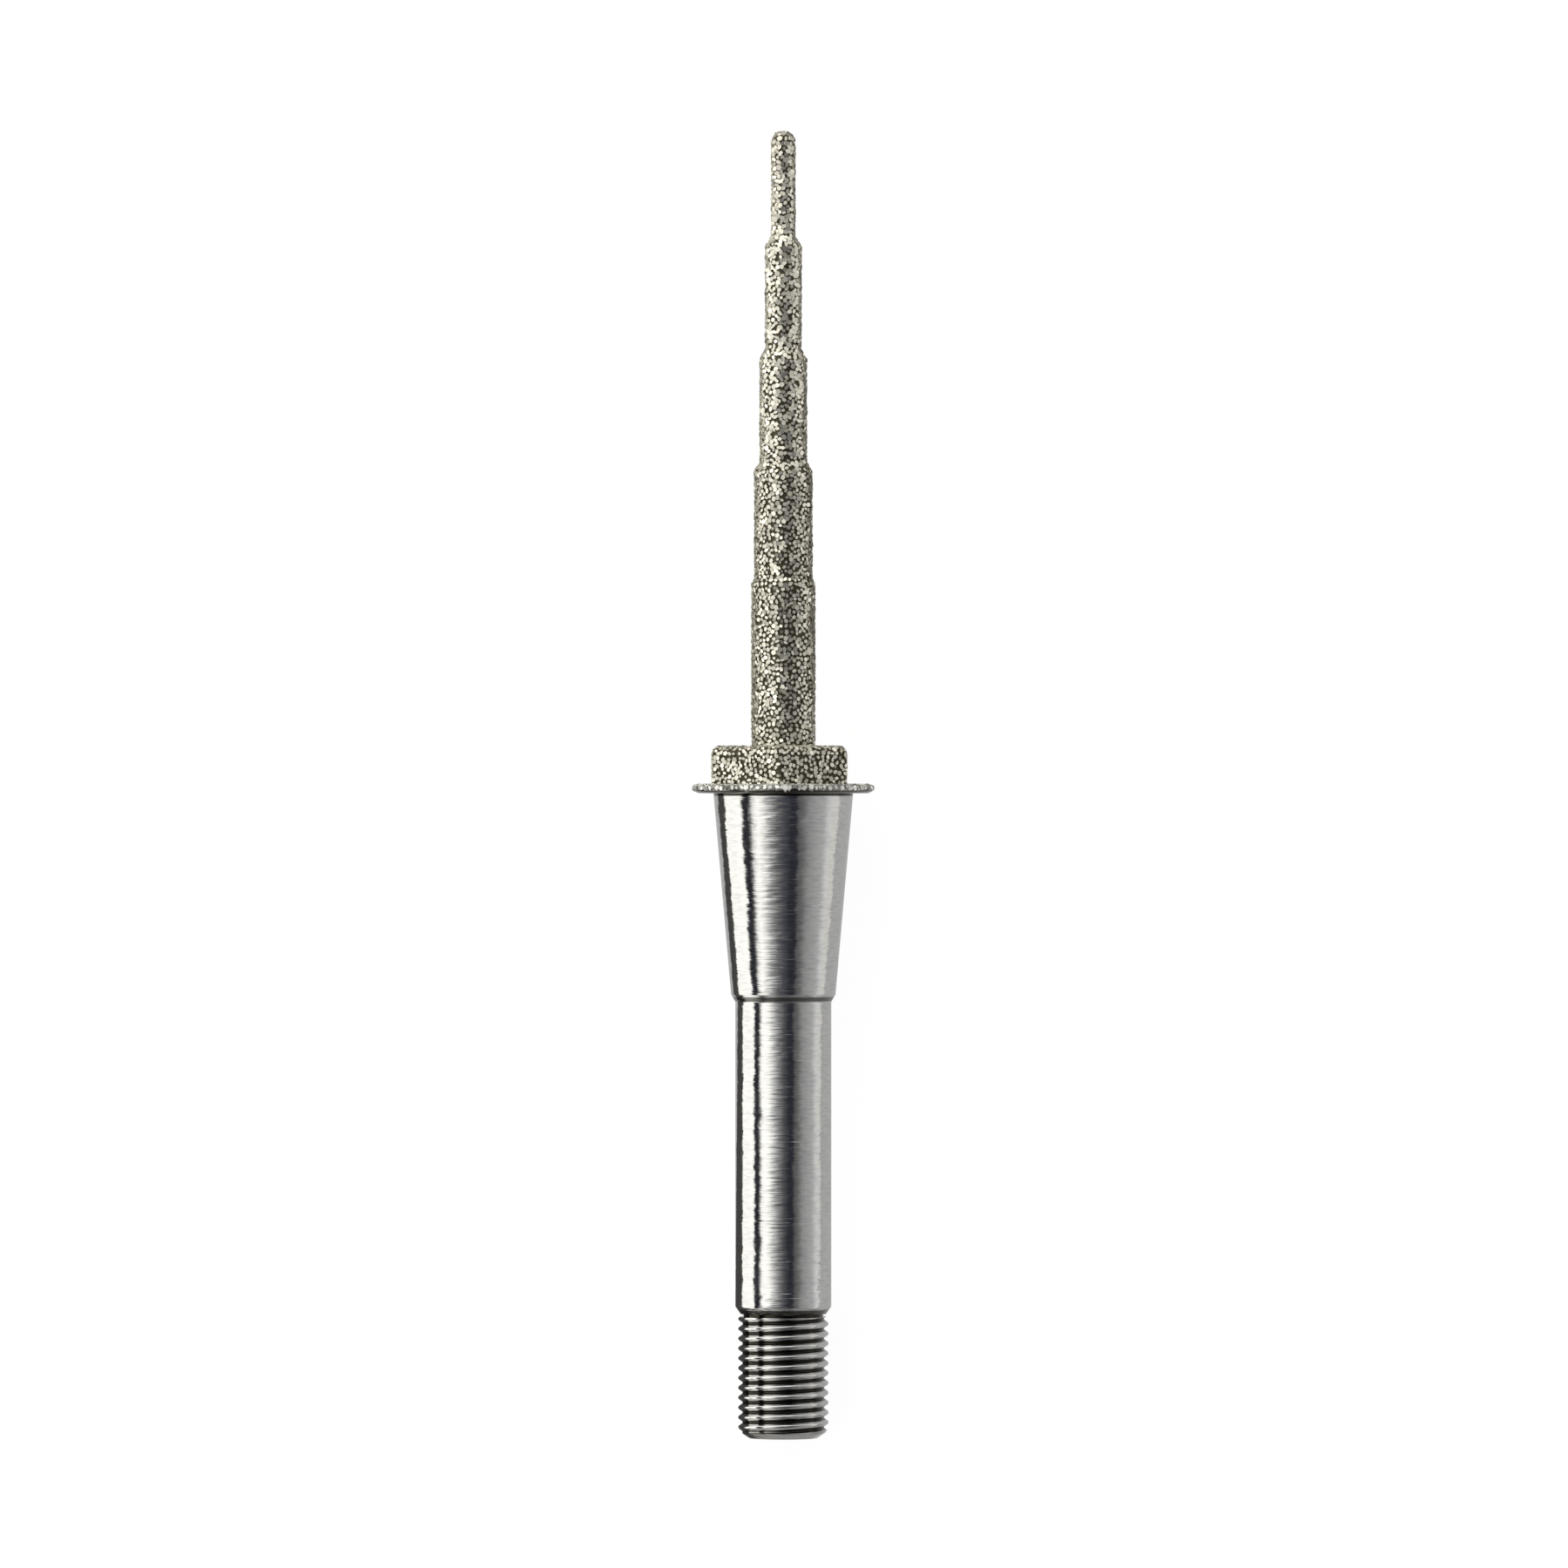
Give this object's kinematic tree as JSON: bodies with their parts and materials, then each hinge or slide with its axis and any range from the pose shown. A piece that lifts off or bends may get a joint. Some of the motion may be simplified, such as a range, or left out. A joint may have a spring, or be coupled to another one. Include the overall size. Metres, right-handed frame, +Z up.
{
  "type": "stepped grit-plated bit",
  "caption": "Stepped bit with a grit-plated nose and hexagonal flange, a tapered seat, a plain shank and a fine threaded end.",
  "frame": {"origin": "on the floor under the middle of the lying bit's box", "axes": "+X runs from the threaded end towards the nose, and the bit's axis rises by 4.15 degrees along it, because the bit lies on its flange rim and on the edge of its threaded end; +Z is up"},
  "size_m": [0.0428, 0.006, 0.006],
  "materials": {
    "steel": "turned and polished bright, with fine lines round the bit",
    "plated_grit": "nickel-plated abrasive grit, rough and glittering"
  },
  "bodies": {
    "root": {"step_bit": "steel"}
  },
  "joints": []
}
